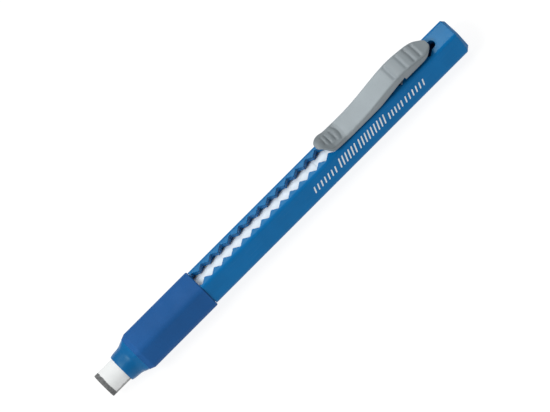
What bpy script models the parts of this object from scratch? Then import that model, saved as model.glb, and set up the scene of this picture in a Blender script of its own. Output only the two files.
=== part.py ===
"""Click-type stick eraser: six-sided barrel, rubber grip, slider clip, carriage, eraser stick, end plug.

Frame: +X along the barrel towards the rear, +Z up out of the slotted face, origin at the middle of the
footprint. Constants are millimetres. Heights called z are above the barrel's axis, AXIS_Z above the ground.
"""
import math
import bpy
import bmesh
from mathutils import Matrix, Vector

MM = 0.001

# overall
TIP_X = -61.0                 # working end of the eraser stick
REAR_X = 61.0                 # rear end of the barrel
NOSE_X = -54.94               # front edge of the barrel's nose
GRIP_FLATS = 11.12            # grip sleeve across flats
AXIS_Z = GRIP_FLATS / 2.0     # the grip's lower flat lies on the ground plane

# barrel
BODY_FLATS = 10.2
BODY_CORNER_R = 1.0
FACE_Z = BODY_FLATS / 2.0     # slotted face above the axis
BORE_R = 3.75
MOUTH_R = 3.56
MOUTH_END_X = -51.4
MOUTH_TAPER = 0.3
RECESS_FRONT_X = -50.04
RECESS_REAR_X = -27.03
RECESS_FLATS = 9.1
RECESS_CORNER_R = 1.2
NOSE_RINGS = ((NOSE_X, 3.74), (-54.70, 3.88), (-53.70, 4.06), (-52.70, 4.14), (-52.20, 4.20))    # x, radius
CONE_RINGS = ((-51.76, 0.12), (-50.78, 0.65), (RECESS_FRONT_X, 1.0))             # x, share of the full cone
CONE_FLATS = 9.95
CONE_CORNER_R = 1.9
REAR_CHAMFER_TOP = (0.8, 0.8)         # length along x, inset across
REAR_CHAMFER_BOTTOM = (1.7, 1.1)

# notched slot
NOTCH_PITCH = 3.276
NOTCH_FIRST_X = -26.34
NOTCH_COUNT = 25
SLOT_WIDE = 4.3
SLOT_NARROW = 2.2
SLOT_REAR_X = 55.49
SLOT_FLOOR_Z = 1.4
NOTCH_FLAT = 0.12             # share of half a pitch that is flat at the top and bottom of each notch
SLOT_END = ((0.62, 1.0), (0.18, 0.72), (0.0, 0.3))    # distance before the rear end, share of the half width

# grip sleeve
GRIP_GAP = 0.05
GRIP_CORNER_R = 1.9
GRIP_FRONT_TAPER = ((0.0, 0.52), (0.5, 0.36), (1.0, 0.14), (1.4, 0.0))    # distance from the edge, inset
GRIP_REAR_TAPER = ((0.3, 0.0), (0.12, 0.08), (0.0, 0.26))

# tail plug
PLUG_R = 3.70
PLUG_FRONT_X = 56.6
PLUG_REAR_X = 60.8
PLUG_DIMPLE_R = 1.4
PLUG_DIMPLE_DEPTH = 0.6
PLUG_DIMPLE_DRAFT = 0.2
PLUG_EDGE = 0.25
PLUG_LEAD_LENGTH = 0.5
PLUG_LEAD_INSET = 0.4

# eraser stick, pinched at the tail by the jaws
ERASER_R = 3.4
ERASER_TAIL_X = 19.2
ERASER_PINCH_X = 13.55
ERASER_PINCH_TAPER = 0.15
ERASER_PINCH_R = 2.88

# carriage
HOLDER_R = 3.45
JAW_FRONT_X = 13.7
JAW_INNER_R = 3.02
JAW_GAP_HALF_H = 2.2
SEAT_X = 19.4
SEAT_REAR_X = 22.4
RAIL_WIDTH = 3.2
RAIL_T = 1.0
RAIL_END_Z = -1.9
RAIL_SAG = 0.9
SOCKET_X = (42.6, 49.0)
SOCKET_Z = (-2.3, 1.95)
SOCKET_HALF_W = 2.5
SOCKET_FLOOR_Z = -0.75
SOCKET_EDGE = 0.35
SOCKET_PLAY = 0.3             # room round the stem along x and round the barbs
SLIT_PLAY = 0.25
LEDGE_OVERLAP = 0.1
SEAT_EDGE = 0.5
JAW_EDGE = 0.15
JAW_GAP_SHORT = 0.2           # solid left between the jaw gap and the seat
RAIL_ROOT = 0.6               # how far the rail runs into the seat
RAIL_STEPS = 8

# clip
CLIP_TOP_R = 0.55
CLIP_LOW_R = 0.2
CLIP_TOP_R_SHARE = (0.45, 0.6)        # top radius at most these shares of the height and of the half width
CLIP_LOW_R_SHARE = 0.2
CLIP_CORNER_DEG = (0.0, 30.0, 60.0, 90.0)
CLIP_CREST_SHARES = (0.85, 0.5, 0.2)  # points of the crest, as shares of the way out to the shoulder
STEM_X = (44.2, 47.3)
STEM_HALF_W = 0.9
STEM_BOTTOM_Z = 0.35
STEM_TOP_Z = FACE_Z + 2.4
LUG_X = NOTCH_FIRST_X + 22 * NOTCH_PITCH
LUG_LENGTH = 1.8
LUG_HALF_W = 1.0
LUG_Z = (2.95, 3.85)
BARB_HALF_W = 1.45
BARB_TOP_Z = 0.95
BARB_EDGE = 0.25
BARB_DRAFT = 0.75
BARB_SHORT = 0.3              # the barbs end this far inside the stem's ends
CORE_HALF_W = 1.8

# clip along x: half width, and heights of its shoulders and underside above the slotted face
CLIP_WIDTH = ((16.55, 0.60), (16.65, 0.86), (16.85, 1.14), (17.3, 1.60), (17.8, 2.04), (18.3, 2.46),
              (18.8, 2.78), (19.2, 2.94), (19.7, 3.0), (49.2, 3.0), (50.3, 2.96), (50.9, 2.88), (51.4, 2.76),
              (51.9, 2.56), (52.6, 2.10), (53.25, 1.60), (53.7, 1.16), (53.95, 0.75))
CLIP_TOP = ((16.55, 4.40), (17.0, 4.60), (17.4, 4.56), (17.9, 4.34), (18.4, 3.95), (18.9, 3.48), (19.6, 3.02),
            (20.4, 2.64), (22.1, 2.50), (23.9, 2.44), (26.5, 2.40), (29.0, 2.54), (31.5, 2.84), (34.4, 3.41),
            (37.0, 3.98), (39.5, 4.46), (41.3, 4.72), (42.6, 4.84), (43.6, 4.84), (45.0, 4.74), (46.6, 4.48),
            (48.1, 4.18), (49.2, 3.90), (50.3, 3.56), (51.2, 3.26), (51.9, 3.02), (52.6, 2.80), (53.25, 2.62),
            (53.7, 2.50), (53.95, 2.38))
CLIP_LOW = ((16.55, 4.15), (17.0, 4.12), (17.4, 3.86), (17.9, 3.30), (18.4, 2.50), (18.9, 1.72), (19.5, 1.26),
            (20.4, 1.06), (22.0, 0.94), (23.5, 0.86), (25.4, 0.76), (31.5, 0.72), (34.4, 0.76), (37.0, 1.20),
            (39.5, 1.78), (41.3, 2.17), (42.6, 2.43), (43.6, 2.58), (43.95, 2.62), (44.05, 1.55),
            (50.3, 1.55), (51.9, 1.62), (53.25, 1.78), (53.95, 1.98))
# crest along the middle of the top, above the shoulders
CLIP_CREST = ((16.55, 0.10), (17.4, 0.25), (18.0, 0.38), (19.0, 0.62), (20.4, 0.76), (22.1, 0.56),
              (23.5, 0.26), (24.3, 0.06), (53.95, 0.04))
# grooves across the top: x, depth, half length
CLIP_GROOVES = ((19.0, 0.26, 0.34), (20.2, 0.28, 0.34), (21.8, 0.28, 0.40), (23.45, 0.18, 0.40),
                (42.1, 0.30, 0.60), (45.95, 0.18, 0.45), (48.6, 0.28, 0.45), (50.55, 0.28, 0.45))
# stretches of the clip with their station spacing
CLIP_SPACING = ((16.55, 24.25, 0.35), (24.25, 40.75, 2.75), (40.75, 43.95, 0.32), (44.05, 53.95, 0.33))
CLIP_END_STEP = 0.1
# hollow under the arm: x, roof above the slotted face
CORE_STATIONS = ((23.6, 1.40), (26.5, 1.38), (29.0, 1.45), (31.5, 1.75), (34.4, 2.30), (37.0, 2.85),
                 (39.0, 3.25))

# pressing the hump rocks the clip about the belly of the carriage's rail
CLICK_X = 32.5

ROUND_STEPS = 32
CUT_PAST = 1.0                # how far a cutter runs past the wall it cuts


def clear_scene():
    """Remove every object that is in the file at the start."""
    for obj in list(bpy.data.objects):
        bpy.data.objects.remove(obj, do_unlink=True)


def make_collection(name):
    coll = bpy.data.collections.new(name)
    bpy.context.scene.collection.children.link(coll)
    return coll


def make_material(name, color, rough):
    mat = bpy.data.materials.new(name)
    mat.use_nodes = True
    bsdf = mat.node_tree.nodes["Principled BSDF"]
    bsdf.inputs["Base Color"].default_value = (color[0], color[1], color[2], 1.0)
    bsdf.inputs["Roughness"].default_value = rough
    return mat


def add_object(name, bm, coll, mat=None):
    """Object from a bmesh whose points are millimetres about the barrel's axis."""
    bmesh.ops.recalc_face_normals(bm, faces=bm.faces)
    bmesh.ops.transform(bm, matrix=Matrix.Scale(MM, 4), verts=bm.verts)
    mesh = bpy.data.meshes.new(name)
    bm.to_mesh(mesh)
    bm.free()
    obj = bpy.data.objects.new(name, mesh)
    obj.location = (0.0, 0.0, AXIS_Z * MM)
    coll.objects.link(obj)
    if mat is not None:
        mesh.materials.append(mat)
    return obj


def as_tool(obj):
    obj.hide_render = True
    obj.display_type = "WIRE"
    return obj


def boolean(obj, tool, operation):
    mod = obj.modifiers.new(operation.lower() + "_" + tool.name, "BOOLEAN")
    mod.operation = operation
    mod.solver = "EXACT"
    mod.object = tool


def bevel(obj, width):
    mod = obj.modifiers.new("edge_bevel", "BEVEL")
    mod.width = width * MM
    mod.segments = 1
    mod.limit_method = "ANGLE"
    mod.angle_limit = math.radians(60.0)


def add_box(name, x, y, z, coll, mat=None):
    """Box between pairs of limits."""
    bm = bmesh.new()
    bmesh.ops.create_cube(bm, size=1.0)
    size = Matrix.Diagonal((x[1] - x[0], y[1] - y[0], z[1] - z[0], 1.0))
    centre = Vector(((x[0] + x[1]) / 2.0, (y[0] + y[1]) / 2.0, (z[0] + z[1]) / 2.0))
    bmesh.ops.transform(bm, matrix=Matrix.Translation(centre) @ size, verts=bm.verts)
    return add_object(name, bm, coll, mat)


def add_extrusion(name, outline, step, coll, mat=None):
    """Flat outline of 3-D points, extruded by a step."""
    bm = bmesh.new()
    face = bm.faces.new([bm.verts.new(p) for p in outline])
    out = bmesh.ops.extrude_face_region(bm, geom=[face])
    moved = [v for v in out["geom"] if isinstance(v, bmesh.types.BMVert)]
    bmesh.ops.translate(bm, vec=Vector(step), verts=moved)
    return add_object(name, bm, coll, mat)


def add_turned(name, profile, coll, mat=None):
    """Solid turned about the barrel's axis from (x, radius) points, rear end first."""
    mesh = bpy.data.meshes.new(name)
    points = [(r * MM, 0.0, x * MM) for x, r in profile]
    mesh.from_pydata(points, [(i, i + 1) for i in range(len(points) - 1)], [])
    obj = bpy.data.objects.new(name, mesh)
    obj.location = (0.0, 0.0, AXIS_Z * MM)
    obj.rotation_euler = (0.0, math.radians(90.0), 0.0)
    coll.objects.link(obj)
    screw = obj.modifiers.new("turn", "SCREW")
    screw.axis = "Z"
    screw.steps = ROUND_STEPS
    screw.render_steps = ROUND_STEPS
    screw.use_merge_vertices = True
    screw.merge_threshold = 0.00001
    if mat is not None:
        mesh.materials.append(mat)
    return obj


def add_loft(name, sections, coll, mat=None):
    """Skin between rings of equal length, capped at both ends."""
    bm = bmesh.new()
    rings = [[bm.verts.new(p) for p in section] for section in sections]
    for a, b in zip(rings, rings[1:]):
        for i in range(len(a)):
            k = (i + 1) % len(a)
            bm.faces.new((a[i], a[k], b[k], b[i]))
    bm.faces.new(rings[0])
    bm.faces.new(rings[-1])
    return add_object(name, bm, coll, mat)


def hex_ring(flats, corner_r):
    """Hexagon with rounded corners as (y, z) points; flats face up and down."""
    reach = (flats / 2.0 - corner_r) / math.cos(math.radians(30.0))
    ring = []
    for corner in range(6):
        mid = math.radians(60.0 * corner)
        for step in (-30.0, -10.0, 10.0, 30.0):
            a = mid + math.radians(step)
            ring.append((reach * math.cos(mid) + corner_r * math.cos(a),
                         reach * math.sin(mid) + corner_r * math.sin(a)))
    full = []
    for i, p in enumerate(ring):
        full.append(p)
        if i % 4 == 3:
            q = ring[(i + 1) % len(ring)]
            full.append((p[0] * 2.0 / 3.0 + q[0] / 3.0, p[1] * 2.0 / 3.0 + q[1] / 3.0))
            full.append((p[0] / 3.0 + q[0] * 2.0 / 3.0, p[1] / 3.0 + q[1] * 2.0 / 3.0))
    return full


def round_ring(like, radius):
    """Circle whose points lie in the same directions as another ring's."""
    return [(radius * y / math.hypot(y, z), radius * z / math.hypot(y, z)) for y, z in like]


def blend(a, b, k):
    return [(p[0] + (q[0] - p[0]) * k, p[1] + (q[1] - p[1]) * k) for p, q in zip(a, b)]


def at_x(ring, x):
    return [(x, y, z) for y, z in ring]


def slot_outline():
    """Plan of the slot: notches along both edges and a plain rounded rear end."""
    wide = SLOT_WIDE / 2.0
    narrow = SLOT_NARROW / 2.0
    half = NOTCH_PITCH / 2.0
    flat = NOTCH_FLAT * half
    side = []
    for k in range(NOTCH_COUNT):
        c = NOTCH_FIRST_X + k * NOTCH_PITCH
        side += [(c - half + flat, narrow), (c - flat, wide), (c + flat, wide), (c + half - flat, narrow)]
    side += [(SLOT_REAR_X - before, narrow * share) for before, share in SLOT_END]
    other = [(x, -y) for x, y in reversed(side)]
    return [(x, y, SLOT_FLOOR_Z) for x, y in side + other]


def barrel_sections():
    """Nose turned round, cone growing into a hexagon, recess for the grip, body, chamfered rear rim."""
    body = hex_ring(BODY_FLATS, BODY_CORNER_R)
    cone = hex_ring(CONE_FLATS, CONE_CORNER_R)
    recess = hex_ring(RECESS_FLATS, RECESS_CORNER_R)
    sections = [at_x(round_ring(body, r), x) for x, r in NOSE_RINGS]
    neck = round_ring(body, NOSE_RINGS[-1][1])
    sections += [at_x(blend(neck, cone, k), x) for x, k in CONE_RINGS]
    sections += [at_x(recess, RECESS_FRONT_X), at_x(recess, RECESS_REAR_X), at_x(body, RECESS_REAR_X)]
    rim = []
    end = []
    for y, z in body:
        low = max(0.0, min(1.0, 0.5 - z / FACE_Z))
        length = REAR_CHAMFER_TOP[0] + (REAR_CHAMFER_BOTTOM[0] - REAR_CHAMFER_TOP[0]) * low
        inset = REAR_CHAMFER_TOP[1] + (REAR_CHAMFER_BOTTOM[1] - REAR_CHAMFER_TOP[1]) * low
        rim.append((REAR_X - length, y, z))
        end.append((REAR_X, y * (1.0 - inset / FACE_Z), z * (1.0 - inset / FACE_Z)))
    return sections + [rim, end]


def build_barrel(part, tools, mat):
    barrel = add_loft("barrel", barrel_sections(), part, mat)
    bore = add_turned("bore_cutter", (
        (REAR_X + CUT_PAST, 0.0), (REAR_X + CUT_PAST, BORE_R), (MOUTH_END_X, BORE_R),
        (MOUTH_END_X - MOUTH_TAPER, MOUTH_R), (NOSE_X - CUT_PAST, MOUTH_R), (NOSE_X - CUT_PAST, 0.0)), tools)
    boolean(barrel, as_tool(bore), "DIFFERENCE")
    slot = add_extrusion("slot_cutter", slot_outline(), (0.0, 0.0, FACE_Z + CUT_PAST), tools)
    boolean(barrel, as_tool(slot), "DIFFERENCE")


def build_grip(part, tools, mat):
    """Sleeve over the recess, tapered at the front to meet the nose cone and rounded at the rear."""
    front = RECESS_FRONT_X + GRIP_GAP
    rear = RECESS_REAR_X - GRIP_GAP
    stations = [(front + d, inset) for d, inset in GRIP_FRONT_TAPER]
    stations += [(rear - d, inset) for d, inset in GRIP_REAR_TAPER]
    sections = [at_x(hex_ring(GRIP_FLATS - 2.0 * inset, GRIP_CORNER_R), x) for x, inset in stations]
    grip = add_loft("grip_sleeve", sections, part, mat)
    inner = at_x(hex_ring(RECESS_FLATS + 2.0 * GRIP_GAP, RECESS_CORNER_R + GRIP_GAP), front - CUT_PAST)
    hole = add_extrusion("grip_hole_cutter", inner, (rear - front + 2.0 * CUT_PAST, 0.0, 0.0), tools)
    boolean(grip, as_tool(hole), "DIFFERENCE")


def build_plug(part, mat):
    add_turned("tail_plug", (
        (PLUG_REAR_X - PLUG_DIMPLE_DEPTH, 0.0),
        (PLUG_REAR_X - PLUG_DIMPLE_DEPTH, PLUG_DIMPLE_R - PLUG_DIMPLE_DRAFT),
        (PLUG_REAR_X, PLUG_DIMPLE_R), (PLUG_REAR_X, PLUG_R - PLUG_EDGE), (PLUG_REAR_X - PLUG_EDGE, PLUG_R),
        (PLUG_FRONT_X + PLUG_LEAD_LENGTH, PLUG_R), (PLUG_FRONT_X, PLUG_R - PLUG_LEAD_INSET),
        (PLUG_FRONT_X, 0.0)), part, mat)


def build_eraser(part, mat):
    return add_turned("eraser_stick", (
        (ERASER_TAIL_X, 0.0), (ERASER_TAIL_X, ERASER_PINCH_R), (ERASER_PINCH_X, ERASER_PINCH_R),
        (ERASER_PINCH_X - ERASER_PINCH_TAPER, ERASER_R), (TIP_X, ERASER_R), (TIP_X, 0.0)), part, mat)


def add_rail(coll):
    """Bowed leaf between the seat and the socket: a strip given its thickness by Solidify."""
    x0 = SEAT_REAR_X - RAIL_ROOT
    x1 = SOCKET_X[0] + RAIL_ROOT
    bm = bmesh.new()
    rows = []
    for i in range(RAIL_STEPS + 1):
        k = i / RAIL_STEPS
        z = RAIL_END_Z - RAIL_SAG * math.sin(math.pi * k)
        rows.append([bm.verts.new((x0 + (x1 - x0) * k, y, z)) for y in (-RAIL_WIDTH / 2.0, RAIL_WIDTH / 2.0)])
    for a, b in zip(rows, rows[1:]):
        bm.faces.new((a[0], b[0], b[1], a[1]))
    rail = add_object("holder_rail", bm, coll)
    solid = rail.modifiers.new("thickness", "SOLIDIFY")
    solid.thickness = RAIL_T * MM
    solid.offset = 0.0
    return rail


def build_holder(part, tools, mat):
    """Jaws slotted out of a tube, solid seat, bowed rail and the socket for the clip's stem."""
    holder = add_turned("eraser_holder", (
        (SEAT_REAR_X, 0.0), (SEAT_REAR_X, HOLDER_R - SEAT_EDGE), (SEAT_REAR_X - SEAT_EDGE, HOLDER_R),
        (JAW_FRONT_X + SEAT_EDGE, HOLDER_R), (JAW_FRONT_X, HOLDER_R - JAW_EDGE), (JAW_FRONT_X, JAW_INNER_R),
        (SEAT_X, JAW_INNER_R), (SEAT_X, 0.0)), part, mat)
    gap_x = (JAW_FRONT_X - CUT_PAST, SEAT_X - JAW_GAP_SHORT)
    gap_y = (-HOLDER_R - CUT_PAST, HOLDER_R + CUT_PAST)
    gap = add_box("jaw_gap_cutter", gap_x, gap_y, (-JAW_GAP_HALF_H, JAW_GAP_HALF_H), tools)
    boolean(holder, as_tool(gap), "DIFFERENCE")
    boolean(holder, as_tool(add_rail(tools)), "UNION")
    socket = add_box("holder_socket", SOCKET_X, (-SOCKET_HALF_W, SOCKET_HALF_W), SOCKET_Z, tools)
    bevel(socket, SOCKET_EDGE)
    boolean(holder, as_tool(socket), "UNION")
    room_x = (STEM_X[0] - SOCKET_PLAY, STEM_X[1] + SOCKET_PLAY)
    room_w = BARB_HALF_W + SOCKET_PLAY
    room_z = (SOCKET_FLOOR_Z, BARB_TOP_Z + LEDGE_OVERLAP)
    room = add_box("socket_room_cutter", room_x, (-room_w, room_w), room_z, tools)
    boolean(holder, as_tool(room), "DIFFERENCE")
    slit_w = STEM_HALF_W + SLIT_PLAY
    slit_z = (BARB_TOP_Z - LEDGE_OVERLAP, SOCKET_Z[1] + CUT_PAST)
    slit = add_box("socket_slit_cutter", room_x, (-slit_w, slit_w), slit_z, tools)
    boolean(holder, as_tool(slit), "DIFFERENCE")
    return holder


def spline(keys, x):
    """Smooth curve through (x, value) keys that never overshoots them."""
    i = max(k for k in range(len(keys) - 1) if keys[k][0] <= x)
    chords = [(b[1] - a[1]) / (b[0] - a[0]) for a, b in zip(keys, keys[1:])]
    slopes = [chords[0]]
    for a, b in zip(chords, chords[1:]):
        slopes.append(2.0 * a * b / (a + b) if a * b > 0.0 else 0.0)
    slopes.append(chords[-1])
    span = keys[i + 1][0] - keys[i][0]
    u = (x - keys[i][0]) / span
    start = (2.0 * u**3 - 3.0 * u**2 + 1.0) * keys[i][1] + (u**3 - 2.0 * u**2 + u) * slopes[i] * span
    return start + (3.0 * u**2 - 2.0 * u**3) * keys[i + 1][1] + (u**3 - u**2) * slopes[i + 1] * span


def clip_stations():
    """Positions of the clip's sections: close together at the knob and the hump, wide apart along the arm."""
    stations = []
    for start, end, step in CLIP_SPACING:
        count = round((end - start) / step)
        stations += [start + (end - start) * i / count for i in range(count + 1)]
    stations += [CLIP_WIDTH[0][0] + CLIP_END_STEP, CLIP_WIDTH[-1][0] - CLIP_END_STEP]
    return sorted(set(round(x, 3) for x in stations))


def clip_section(x):
    """Section across the clip: small radius below, shoulders above, crest and grooves between them."""
    half_w = spline(CLIP_WIDTH, x)
    z1 = spline(CLIP_TOP, x) + FACE_Z
    z0 = spline(CLIP_LOW, x) + FACE_Z
    crest = spline(CLIP_CREST, x)
    groove = sum(deep * math.exp(-((x - middle) / reach) ** 2) for middle, deep, reach in CLIP_GROOVES)
    r = min(CLIP_TOP_R, (z1 - z0) * CLIP_TOP_R_SHARE[0], half_w * CLIP_TOP_R_SHARE[1])
    q = min(CLIP_LOW_R, (z1 - z0) * CLIP_LOW_R_SHARE)
    right = [(half_w - q, z0), (half_w, z0 + q)]
    for deg in CLIP_CORNER_DEG:
        a = math.radians(deg)
        right.append((half_w - r + r * math.cos(a), z1 - r + r * math.sin(a)))
    for share in CLIP_CREST_SHARES:
        right.append(((half_w - r) * share, z1 + crest * math.cos(share * math.pi / 2.0) - groove))
    left = [(-y, z) for y, z in reversed(right)]
    return at_x(right + left, x)


def core_section(x, top):
    """Section of the hollow under the clip's arm."""
    z0 = FACE_Z - CUT_PAST
    z1 = FACE_Z + top
    return [(x, -CORE_HALF_W, z0), (x, CORE_HALF_W, z0), (x, CORE_HALF_W, z1), (x, -CORE_HALF_W, z1)]


def build_clip(part, tools, mat):
    """Knob, arm, thumb hump and foot in one, with a stem, lock lugs and barbs below."""
    clip = add_loft("clip", [clip_section(x) for x in clip_stations()], part, mat)
    stem_z = (STEM_BOTTOM_Z + LEDGE_OVERLAP, STEM_TOP_Z)
    stem = add_box("clip_stem", STEM_X, (-STEM_HALF_W, STEM_HALF_W), stem_z, tools)
    boolean(clip, as_tool(stem), "UNION")
    lug_x = (LUG_X - LUG_LENGTH / 2.0, LUG_X + LUG_LENGTH / 2.0)
    lugs = add_box("clip_lugs", lug_x, (-LUG_HALF_W, LUG_HALF_W), LUG_Z, tools)
    boolean(clip, as_tool(lugs), "UNION")
    w = BARB_HALF_W
    arrow = [(-w, BARB_TOP_Z), (-w, BARB_TOP_Z - BARB_EDGE), (BARB_DRAFT - w, STEM_BOTTOM_Z),
             (w - BARB_DRAFT, STEM_BOTTOM_Z), (w, BARB_TOP_Z - BARB_EDGE), (w, BARB_TOP_Z)]
    barb_x = STEM_X[0] + BARB_SHORT
    barb_length = STEM_X[1] - STEM_X[0] - 2.0 * BARB_SHORT
    barbs = add_extrusion("clip_barbs", at_x(arrow, barb_x), (barb_length, 0.0, 0.0), tools)
    boolean(clip, as_tool(barbs), "UNION")
    core = add_loft("clip_core_cutter", [core_section(*row) for row in CORE_STATIONS], tools)
    boolean(clip, as_tool(core), "DIFFERENCE")
    return clip


def add_marker(name, x, part):
    """Empty on the barrel's axis, where a joint's axis passes."""
    obj = bpy.data.objects.new(name, None)
    obj.empty_display_size = 4.0 * MM
    obj.location = (x * MM, 0.0, AXIS_Z * MM)
    part.objects.link(obj)
    return obj


def place_under(child, parent):
    """Parent without moving the child."""
    bpy.context.view_layer.update()
    child.parent = parent
    child.matrix_parent_inverse = parent.matrix_world.inverted()


def main():
    clear_scene()
    part = make_collection("stick_eraser")
    tools = make_collection("stick_eraser_cutters")
    build_barrel(part, tools, make_material("barrel_blue", (0.010, 0.125, 0.32), 0.22))
    build_grip(part, tools, make_material("grip_rubber_blue", (0.022, 0.095, 0.29), 0.62))
    build_plug(part, make_material("plug_blue", (0.008, 0.110, 0.29), 0.25))
    holder = build_holder(part, tools, make_material("holder_white", (0.68, 0.72, 0.76), 0.45))
    clip = build_clip(part, tools, make_material("clip_grey", (0.36, 0.41, 0.44), 0.38))
    eraser = build_eraser(part, make_material("eraser_white", (0.83, 0.84, 0.83), 0.70))
    slider_axis = add_marker("slider_axis", CLICK_X, part)
    click_axis = add_marker("click_axis", CLICK_X, part)
    refill_axis = add_marker("refill_axis", ERASER_TAIL_X, part)
    place_under(holder, slider_axis)
    place_under(click_axis, slider_axis)
    place_under(refill_axis, slider_axis)
    place_under(clip, click_axis)
    place_under(eraser, refill_axis)


main()
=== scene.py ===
"""Looks of the click-type stick eraser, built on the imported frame.

Frame: +X along the barrel towards the rear, +Z up out of the slotted face. Shapes are written in
millimetres about the barrel's axis and put in place by add_piece(). Lengths in materials, camera and
lights are metres.
"""
import math
import bmesh
import bpy
from mathutils import Matrix, Vector


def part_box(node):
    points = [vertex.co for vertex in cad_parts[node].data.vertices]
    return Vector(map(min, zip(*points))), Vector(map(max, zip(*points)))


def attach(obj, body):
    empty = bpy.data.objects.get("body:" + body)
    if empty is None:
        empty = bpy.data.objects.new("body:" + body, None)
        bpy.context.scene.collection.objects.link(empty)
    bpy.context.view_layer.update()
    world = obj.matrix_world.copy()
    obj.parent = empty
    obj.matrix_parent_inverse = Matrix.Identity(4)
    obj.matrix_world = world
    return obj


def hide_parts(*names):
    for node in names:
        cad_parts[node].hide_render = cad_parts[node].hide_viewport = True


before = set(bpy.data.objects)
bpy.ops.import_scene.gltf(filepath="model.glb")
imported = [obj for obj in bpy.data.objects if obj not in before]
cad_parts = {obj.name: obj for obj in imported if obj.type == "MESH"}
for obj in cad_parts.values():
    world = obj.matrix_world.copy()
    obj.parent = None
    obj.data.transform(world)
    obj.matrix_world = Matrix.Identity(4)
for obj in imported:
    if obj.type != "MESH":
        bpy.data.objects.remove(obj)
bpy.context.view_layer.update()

MM = 0.001
CUT_PAST = 1.0                # how far a cutter reaches past what it cuts
SHARP_DEG = 32.0              # edges sharper than this stay sharp
NORMAL_WEIGHT = 80
TURN_STEPS = 96
BEVEL_STEPS = 3
EDGE_STEPS = 6                # steps of a turned piece's rounded edge
SIN_30 = 0.5
COS_30 = math.sqrt(0.75)


# ---------------------------------------------------------------- sizes read from the frame
def node_range(node, axis):
    """Lowest and highest coordinate of a CAD node in millimetres."""
    low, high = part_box(node)
    return low[axis] / MM, high[axis] / MM


GRIP_LOW, GRIP_HIGH = node_range("grip_sleeve", 2)
AXIS_Z = (GRIP_LOW + GRIP_HIGH) / 2.0
GRIP_FLATS = GRIP_HIGH - GRIP_LOW
GRIP_X = node_range("grip_sleeve", 0)
NOSE_X, REAR_X = node_range("barrel", 0)
TIP_X, ERASER_TAIL_X = node_range("eraser_stick", 0)
ERASER_R = node_range("eraser_stick", 1)[1]
CLIP_X = node_range("clip", 0)
CLIP_HALF_W = node_range("clip", 1)[1]
PLUG_X = node_range("tail_plug", 0)
PLUG_R = node_range("tail_plug", 1)[1]
HOLDER_REAR_X = node_range("eraser_holder", 0)[1]

# sizes that the barrel's own box doesn't show
BODY_FLATS = 10.2
BODY_CORNER_R = 1.0
FACE_Z = BODY_FLATS / 2.0
BORE_R = 3.75
MOUTH_R = 3.56
RECESS_FLATS = 9.1
RECESS_CORNER_R = 1.2
RECESS_FRONT_X = GRIP_X[0] - 0.01
RECESS_REAR_X = GRIP_X[1] + 0.05
CONE_FLATS = 9.95
CONE_CORNER_R = 1.9
NOTCH_PITCH = 3.276
NOTCH_FIRST_X = -26.34
NOTCH_COUNT = 25
SLOT_WIDE = 4.3
SLOT_NARROW = 2.2
SLOT_REAR_X = 55.49
SLOT_FLOOR_Z = 1.4


# ---------------------------------------------------------------- mesh helpers
def spline(keys, x):
    """Smooth curve through (x, value) keys, without overshoot."""
    if x <= keys[0][0]:
        return keys[0][1]
    if x >= keys[-1][0]:
        return keys[-1][1]
    i = max(k for k in range(len(keys) - 1) if keys[k][0] <= x)

    def chord(k):
        return (keys[k + 1][1] - keys[k][1]) / (keys[k + 1][0] - keys[k][0])

    def tangent(k):
        if k == 0:
            return chord(0)
        if k == len(keys) - 1:
            return chord(k - 1)
        a, b = chord(k - 1), chord(k)
        return 0.0 if a * b <= 0.0 else 2.0 * a * b / (a + b)

    span = keys[i + 1][0] - keys[i][0]
    u = (x - keys[i][0]) / span
    a, b = keys[i][1], keys[i + 1][1]
    m, n = tangent(i) * span, tangent(i + 1) * span
    return ((2 * u**3 - 3 * u**2 + 1) * a + (u**3 - 2 * u**2 + u) * m
            + (3 * u**2 - 2 * u**3) * b + (u**3 - u**2) * n)


def smooth_step(a, b, x):
    """Smooth rise from 0 at a to 1 at b."""
    u = max(0.0, min(1.0, (x - a) / (b - a)))
    return u * u * (3.0 - 2.0 * u)


def loft(bm, rings, caps=True):
    """Skin between closed rings of equal length."""
    rows = [[bm.verts.new(p) for p in ring] for ring in rings]
    count = len(rows[0])
    for a, b in zip(rows, rows[1:]):
        for i in range(count):
            k = (i + 1) % count
            bm.faces.new((a[i], a[k], b[k], b[i]))
    if caps:
        bm.faces.new(rows[0])
        bm.faces.new(rows[-1])
    return rows


def turned(bm, profile):
    """Closed solid turned about the barrel's axis from (x, radius) points; the ends lie on the axis."""
    rings = []
    for x, r in profile[1:-1]:
        turns = [math.tau * i / TURN_STEPS for i in range(TURN_STEPS)]
        rings.append([(x, r * math.cos(a), r * math.sin(a)) for a in turns])
    rows = loft(bm, rings, caps=False)
    for row, (x, _) in ((rows[0], profile[0]), (rows[-1], profile[-1])):
        centre = bm.verts.new((x, 0.0, 0.0))
        for i in range(TURN_STEPS):
            bm.faces.new((row[i], row[(i + 1) % TURN_STEPS], centre))


def box(bm, x, y, z, edge=0.0):
    """Box between pairs of limits, with its edges rounded."""
    made = bmesh.ops.create_cube(bm, size=1.0)
    size = Matrix.Diagonal((x[1] - x[0], y[1] - y[0], z[1] - z[0], 1.0))
    centre = Vector(((x[0] + x[1]) / 2.0, (y[0] + y[1]) / 2.0, (z[0] + z[1]) / 2.0))
    bmesh.ops.transform(bm, matrix=Matrix.Translation(centre) @ size, verts=made["verts"])
    if edge:
        edges = list({e for v in made["verts"] for e in v.link_edges})
        bmesh.ops.bevel(bm, geom=edges, offset=edge, segments=BEVEL_STEPS, profile=0.5, affect="EDGES")


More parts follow.
